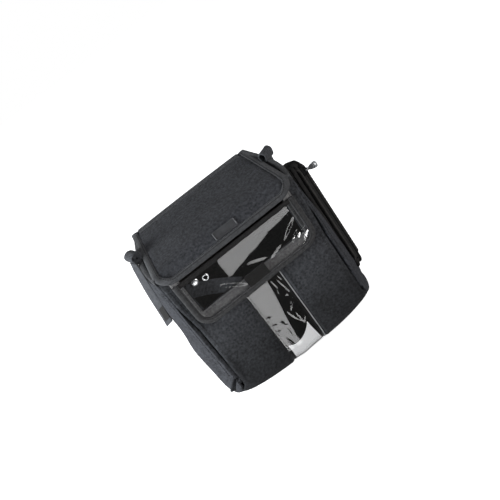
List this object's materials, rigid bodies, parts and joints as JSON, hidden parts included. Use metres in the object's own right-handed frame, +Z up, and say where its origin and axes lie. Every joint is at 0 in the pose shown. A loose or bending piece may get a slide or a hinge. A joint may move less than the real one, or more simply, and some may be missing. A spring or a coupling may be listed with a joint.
{
  "type": "padded carrying case",
  "caption": "Padded soft case with a bound lid, clear window flap, clear front strip, zipped side pocket and a hanging webbing strap.",
  "frame": {"origin": "middle of the base, on the surface the case stands on", "axes": "+Z up, -Y towards the front with the window, +X towards the side pocket"},
  "size_m": [0.2751, 0.1314, 0.263],
  "materials": {
    "foam_fabric": "matt brushed knit over foam",
    "pocket_cloth": "matt woven cloth",
    "lining_cloth": "matt woven lining",
    "binding_tape": "ribbed grosgrain tape",
    "webbing": "woven webbing",
    "hook_pile": "stiff hook pile",
    "loop_pile": "soft loop pile",
    "clear_vinyl": "clear glossy vinyl",
    "badge_rubber": "moulded matt rubber",
    "plated_metal": "bright nickel plate",
    "dark_metal": "black enamel",
    "zip_coil": "black nylon coil",
    "zip_tape": "woven zip tape"
  },
  "bodies": {
    "case": {"back_panel": "foam_fabric", "front_panel_left": "foam_fabric", "front_panel_right": "foam_fabric", "front_window_strip": "clear_vinyl", "strip_edge_tape_left": "binding_tape", "strip_edge_tape_right": "binding_tape", "gusset_left": "foam_fabric", "gusset_right": "foam_fabric", "seam_binding_left": "binding_tape", "seam_binding_right": "binding_tape", "mouth_binding": "binding_tape", "mouth_loop_patch": "loop_pile", "top_edge_binding_left": "binding_tape", "top_edge_binding_right": "binding_tape", "rear_piping_left": "binding_tape", "rear_piping_right": "binding_tape", "back_hinge_tape": "binding_tape", "strap_loop_left": "webbing", "strap_loop_right": "webbing", "inner_strap": "webbing", "inner_strap_stud": "plated_metal", "inner_strap_eyelet": "plated_metal", "pocket_shell": "pocket_cloth", "pocket_piping_inner": "binding_tape", "pocket_piping_outer": "binding_tape", "zip_tape_inner": "zip_tape", "zip_tape_outer": "zip_tape", "zip_coil_inner": "zip_coil", "zip_coil_outer": "zip_coil", "zip_top_stops": "dark_metal", "zip_bottom_stop": "dark_metal"},
    "lid": {"lid_panel": "foam_fabric", "lid_lining": "lining_cloth", "lid_binding": "binding_tape", "lid_hinge_tape": "binding_tape", "lid_badge": "badge_rubber"},
    "window_flap": {"window_pane": "clear_vinyl", "window_binding": "binding_tape", "window_hinge_tape": "binding_tape", "hook_patch_backing": "lining_cloth", "hook_patch": "hook_pile"},
    "hand_strap": {"strap_inner_ply": "webbing", "strap_outer_ply": "webbing", "strap_hook_patch": "hook_pile", "strap_loop_patch": "loop_pile"},
    "slider": {"zip_slider": "dark_metal"},
    "puller": {"zip_puller": "plated_metal"}
  },
  "joints": [
    {"name": "lid_hinge", "type": "hinge", "parent": "case", "child": "lid", "pos_m": [0, 0.0615, 0.2565], "axis": [-1, 0, 0], "range_deg": [0, 230]},
    {"name": "window_hinge", "type": "hinge", "parent": "lid", "child": "window_flap", "pos_m": [0, -0.0645, 0.2153], "axis": [-1, 0, 0], "range_deg": [0, 85]},
    {"name": "strap_swing", "type": "hinge", "parent": "case", "child": "hand_strap", "pos_m": [-0.1145, -0.004, 0.257], "axis": [0, 1, 0], "range_deg": [0, 110]},
    {"name": "zip_slide", "type": "slide", "parent": "case", "child": "slider", "axis": [0, 0, 1], "range_m": [-0.142, 0]},
    {"name": "puller_swing", "type": "hinge", "parent": "slider", "child": "puller", "pos_m": [0.13119, -0.03819, 0.219], "axis": [0, 0, 1], "range_deg": [-80, 80]}
  ]
}
